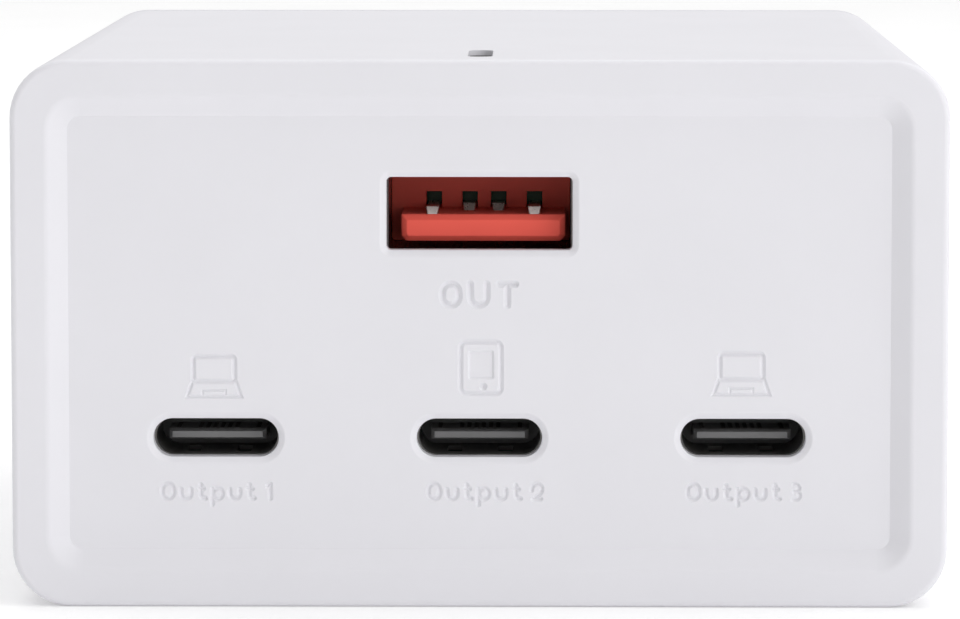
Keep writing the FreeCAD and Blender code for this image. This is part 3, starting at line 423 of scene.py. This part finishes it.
def label_cutters(name, words, middle, base_line, tall, stroke, gap):
    """The strokes of a line of type, one after the other."""
    widths = [LETTERS[letter][0] * tall + stroke + gap for letter in words]
    pen = middle - (sum(widths) - gap) / 2 + stroke / 2
    for number, letter in enumerate(words):
        for start, heading, moves in LETTERS[letter][1]:
            begin = (pen + start[0] * tall, base_line + start[1] * tall)
            sized = [(move[0] * tall, move[1]) if isinstance(move, tuple) else move * tall for move in moves]
            yield stroke_cutter(f"{name}_{number}", begin, heading, sized, stroke)
        pen += widths[number]


def mouth_cutter(shell, width, height, corner):
    """A funnel with a rounded brim, which countersinks the hole in front of a receptacle."""
    low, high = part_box(shell)
    middle = (low + high) / 2
    grow = MOUTH_RADIUS * math.sin(MOUTH_TILT) + MOUTH_RUN - MOUTH_CLEAR
    funnel = flat_plate(shell + "_mouth", middle.x - width / 2 - grow, middle.x + width / 2 + grow,
                        middle.z - height / 2 - grow, middle.z + height / 2 + grow)
    round_corners(funnel, corner + grow, MOUTH_CORNER_STEPS)
    open_underside(funnel)
    turns = [MOUTH_TILT * step / MOUTH_STEPS for step in range(MOUTH_STEPS + 1)]
    for turn, following in zip(turns, turns[1:]):
        bpy.ops.mesh.inset(thickness=MOUTH_RADIUS * (math.sin(following) - math.sin(turn)),
                           depth=MOUTH_RADIUS * (math.cos(turn) - math.cos(following)))
    bpy.ops.mesh.inset(thickness=MOUTH_RUN, depth=MOUTH_RUN * math.tan(MOUTH_TILT))
    put_down()
    return stand_on_panel(funnel)


# Finishes

def make_finish(name, roughness, metallic=0.0, **sockets):
    """A shader with the values that are the same all over it."""
    finish = bpy.data.materials.new(name)
    finish.use_nodes = True
    shader = finish.node_tree.nodes["Principled BSDF"]
    shader.inputs["Roughness"].default_value = roughness
    shader.inputs["Metallic"].default_value = metallic
    for socket, value in sockets.items():
        shader.inputs[socket.replace("_", " ").title().replace("Ior", "IOR")].default_value = value
    return finish


def grain(finish, per_mm, stretch=(1.0, 1.0, 1.0), detail=GRAIN_DETAIL):
    """Fine noise that stays with the piece, optionally drawn out along an axis."""
    tree = finish.node_tree
    place = tree.nodes.new("ShaderNodeTexCoord")
    mapping = tree.nodes.new("ShaderNodeMapping")
    noise = tree.nodes.new("ShaderNodeTexNoise")
    mapping.inputs["Scale"].default_value = stretch
    noise.inputs["Scale"].default_value = per_mm / MM
    noise.inputs["Detail"].default_value = detail
    tree.links.new(place.outputs["Object"], mapping.inputs["Vector"])
    tree.links.new(mapping.outputs["Vector"], noise.inputs["Vector"])
    return noise.outputs["Fac"]


def tint(finish, pattern, dark, light):
    """Colours the surface between two tints along a pattern."""
    tree = finish.node_tree
    ramp = tree.nodes.new("ShaderNodeValToRGB")
    ramp.color_ramp.elements[0].position = TINT_FROM
    ramp.color_ramp.elements[1].position = TINT_TO
    ramp.color_ramp.elements[0].color = (*dark, 1.0)
    ramp.color_ramp.elements[1].color = (*light, 1.0)
    tree.links.new(pattern, ramp.inputs["Fac"])
    tree.links.new(ramp.outputs["Color"], tree.nodes["Principled BSDF"].inputs["Base Color"])


def vary_gloss(finish, pattern, roughness, spread):
    """Lets the gloss follow a pattern, to either side of the roughness."""
    tree = finish.node_tree
    gloss = tree.nodes.new("ShaderNodeMapRange")
    gloss.inputs["To Min"].default_value = roughness * (1 - spread)
    gloss.inputs["To Max"].default_value = roughness * (1 + spread)
    tree.links.new(pattern, gloss.inputs["Value"])
    tree.links.new(gloss.outputs["Result"], tree.nodes["Principled BSDF"].inputs["Roughness"])


def emboss(finish, pattern, height):
    """Raises a pattern off the surface by bump alone."""
    tree = finish.node_tree
    bump = tree.nodes.new("ShaderNodeBump")
    bump.inputs["Strength"].default_value = 1.0
    bump.inputs["Distance"].default_value = height
    tree.links.new(pattern, bump.inputs["Height"])
    tree.links.new(bump.outputs["Normal"], tree.nodes["Principled BSDF"].inputs["Normal"])


def shade(colour, factor):
    return tuple(min(1.0, part * factor) for part in colour)


def moulded(name, colour, roughness, mottle, grain_per_mm=MOULDED_GRAIN_PER_MM, **sockets):
    """Moulded plastic or resin: a slow drift of tint and a fine satin grain."""
    finish = make_finish(name, roughness, **sockets)
    drift = grain(finish, MOULDED_DRIFT_PER_MM, detail=DRIFT_DETAIL)
    fine = grain(finish, grain_per_mm)
    tint(finish, drift, shade(colour, 1 - mottle), shade(colour, 1 + mottle))
    vary_gloss(finish, fine, roughness, MOULDED_GLOSS_SPREAD)
    emboss(finish, fine, MOULDED_GRAIN_HEIGHT)
    return finish


def drawn_metal(name, colour, roughness, along, mottle=0.08):
    """Drawn or rolled metal with fine lines along one axis."""
    finish = make_finish(name, roughness, metallic=1.0)
    stretch = [1.0, 1.0, 1.0]
    stretch["XYZ".index(along)] = METAL_LINE_STRETCH
    lines = grain(finish, METAL_LINES_PER_MM, stretch=stretch)
    drift = grain(finish, METAL_DRIFT_PER_MM, detail=DRIFT_DETAIL)
    tint(finish, drift, shade(colour, 1 - mottle), shade(colour, 1 + mottle))
    vary_gloss(finish, lines, roughness, METAL_GLOSS_SPREAD)
    emboss(finish, lines, METAL_LINE_HEIGHT)
    return finish


FINISHES = {
    "casing_white": moulded("casing_white", (0.770, 0.763, 0.798), 0.44, mottle=0.006,
                            specular_ior_level=0.10),
    "plug_metal": drawn_metal("plug_metal", (0.76, 0.745, 0.71), 0.27, "Y", mottle=0.02),
    "lead_copper": drawn_metal("lead_copper", (0.80, 0.42, 0.26), 0.34, "Y"),
    "light_window": moulded("light_window", (0.13, 0.128, 0.130), 0.40, mottle=0.08,
                            specular_ior_level=0.05),
    "led_resin": moulded("led_resin", (0.72, 0.70, 0.58), 0.30, mottle=0.05),
    # Near-black steel on the wide socket's shell is painted shade: the shell looks dark inside the socket,
    # and the dark colour also cuts the light it bounces onto the rear wall.
    "shell_steel": drawn_metal("shell_steel", (0.14, 0.13, 0.13), 0.30, "Y"),
    "shell_black": moulded("shell_black", (0.160, 0.155, 0.150), 0.32, mottle=0.2, metallic=0.5),
    "insulator_red": moulded("insulator_red", (0.86, 0.122, 0.090), 0.50, mottle=0.04, grain_per_mm=6.0,
                             specular_ior_level=0.12),
    "insulator_black": moulded("insulator_black", (0.19, 0.19, 0.19), 0.42, mottle=0.10),
    "contact_gold": drawn_metal("contact_gold", (0.80, 0.76, 0.70), 0.30, "Y"),
    # Dark grey on these plated contacts is painted shade, for contacts that sit in shadow deep inside the
    # sockets.
    "contact_dark": drawn_metal("contact_dark", (0.12, 0.115, 0.110), 0.55, "Y"),
    "board_green": moulded("board_green", (0.030, 0.150, 0.060), 0.38, mottle=0.25),
    "header_black": moulded("header_black", (0.025, 0.025, 0.026), 0.50, mottle=0.15),
    "spreader_metal": drawn_metal("spreader_metal", (0.74, 0.74, 0.75), 0.36, "Y"),
    "sheet_film": moulded("sheet_film", (0.62, 0.56, 0.42), 0.40, mottle=0.05),
    "pad_grey": moulded("pad_grey", (0.32, 0.34, 0.36), 0.80, mottle=0.10),
    "ferrite": moulded("ferrite", (0.045, 0.045, 0.048), 0.62, mottle=0.30),
    "bobbin_black": moulded("bobbin_black", (0.022, 0.022, 0.022), 0.46, mottle=0.15),
    "winding_tape": moulded("winding_tape", (0.72, 0.50, 0.08), 0.34, mottle=0.08),
    "choke_wire": drawn_metal("choke_wire", (0.72, 0.33, 0.16), 0.32, "X"),
    "can_sleeve": moulded("can_sleeve", (0.040, 0.042, 0.060), 0.34, mottle=0.15),
    "can_metal": drawn_metal("can_metal", (0.76, 0.77, 0.78), 0.30, "Z"),
    "capacitor_yellow": moulded("capacitor_yellow", (0.78, 0.55, 0.06), 0.42, mottle=0.06),
    "capacitor_blue": moulded("capacitor_blue", (0.05, 0.16, 0.46), 0.40, mottle=0.10),
    "component_black": moulded("component_black", (0.030, 0.030, 0.031), 0.52, mottle=0.15),
    "component_grey": moulded("component_grey", (0.22, 0.22, 0.23), 0.56, mottle=0.10),
}


def dress(piece, slot):
    piece.data.materials.clear()
    piece.data.materials.append(FINISHES[slot])


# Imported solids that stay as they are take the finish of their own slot

for node in nodes.values():
    for material_slot in node.material_slots:
        material_slot.material = FINISHES[material_slot.material.name.split(".")[0]]


# Front panel with its engraved marks

def engraved_panel():
    panel = merged_copy("front_panel", "engraved_front_panel")
    for shell, hole in SOCKET_HOLES.items():
        cut(panel, mouth_cutter(shell, *hole))
    for name, screen in LAPTOP_SCREENS.items():
        cut(panel, outline_cutter(name + "_screen", screen, LAPTOP_CORNER, STROKE))
        cut(panel, laptop_base_cutter(name + "_base", screen))
        cut(panel, touchpad_cutter(name + "_touchpad", screen))
    cut(panel, outline_cutter("tablet_outline", TABLET_OUTLINE, TABLET_CORNER, STROKE))
    cut(panel, pocket_cutter("tablet_screen", TABLET_SCREEN, TABLET_SCREEN_CORNER))
    cut(panel, button_cutter("tablet_button"))
    for name, setting in LABELS.items():
        for cutter in label_cutters(name, *setting):
            cut(panel, cutter)
    set_off_flats(panel)
    dress(panel, "casing_white")
    ride_root(panel, "casing_white", "front_panel")


engraved_panel()


# Tongue of the wide socket, with the soft edges of a moulding

def soft_tongue():
    tongue = merged_copy("usb_a_insulator", "soft_edged_tongue")
    work_on(tongue)
    bpy.ops.mesh.select_all(action="SELECT")
    bpy.ops.mesh.dissolve_limited(angle_limit=FLAT_WITHIN)
    rear_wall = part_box("usb_a_insulator")[0].y + TONGUE_REACH
    pick("edges", lambda edge: edge.is_manifold and edge.is_convex and edge.calc_face_angle() > SMOOTH_UNDER
         and all(corner.co.y < rear_wall for corner in edge.verts))
    bpy.ops.mesh.bevel(offset=TONGUE_EDGE, segments=TONGUE_EDGE_STEPS, profile=0.5, affect="EDGES")
    put_down()
    smooth_flanks(tongue)
    dress(tongue, "insulator_red")
    ride_root(tongue, "insulator_red", "usb_a_insulator")


soft_tongue()


# Stage: floor, light, camera

def pale_floor():
    let_go()
    bpy.ops.mesh.primitive_plane_add(size=FLOOR_SIDE, location=(0.0, 0.0, -FLOOR_DROP))
    floor = bpy.context.object
    floor.name = "floor"
    apply_place(floor)
    paper = make_finish("floor_paper", FLOOR_ROUGHNESS, specular_ior_level=0.0, emission_color=WHITE,
                        emission_strength=FLOOR_GLOW)
    fibre = grain(paper, FIBRES_PER_MM)
    tint(paper, fibre, FLOOR_DARK, FLOOR_LIGHT)
    floor.data.materials.append(paper)


def softbox(name, place, aim, width, height, watts):
    let_go()
    bpy.ops.object.light_add(type="AREA", location=place)
    lamp = bpy.context.object
    lamp.name = name
    lamp.data.shape = "RECTANGLE"
    lamp.data.size = width
    lamp.data.size_y = height
    lamp.data.energy = watts
    lamp.rotation_euler = (Vector(aim) - Vector(place)).to_track_quat("-Z", "Y").to_euler()
    lamp.visible_camera = False


def surround():
    world = bpy.data.worlds.new("studio")
    world.use_nodes = True
    background = world.node_tree.nodes["Background"]
    background.inputs["Color"].default_value = WHITE
    background.inputs["Strength"].default_value = SURROUND_LIGHT
    bpy.context.scene.world = world


def camera():
    let_go()
    bpy.ops.object.camera_add(location=CAMERA_PLACE)
    eye = bpy.context.object
    eye.rotation_euler = (CAMERA_AIM - CAMERA_PLACE).to_track_quat("-Z", "Y").to_euler()
    eye.data.lens = CAMERA_LENS
    eye.data.sensor_width = SENSOR_WIDTH
    eye.data.sensor_fit = "HORIZONTAL"
    eye.data.clip_start = NEAREST_SEEN
    eye.data.clip_end = FARTHEST_SEEN
    bpy.context.scene.camera = eye


pale_floor()
for lamp_name, settings in SOFTBOXES.items():
    softbox(lamp_name, *settings)
surround()
camera()
bpy.context.scene.view_settings.view_transform = "Standard"
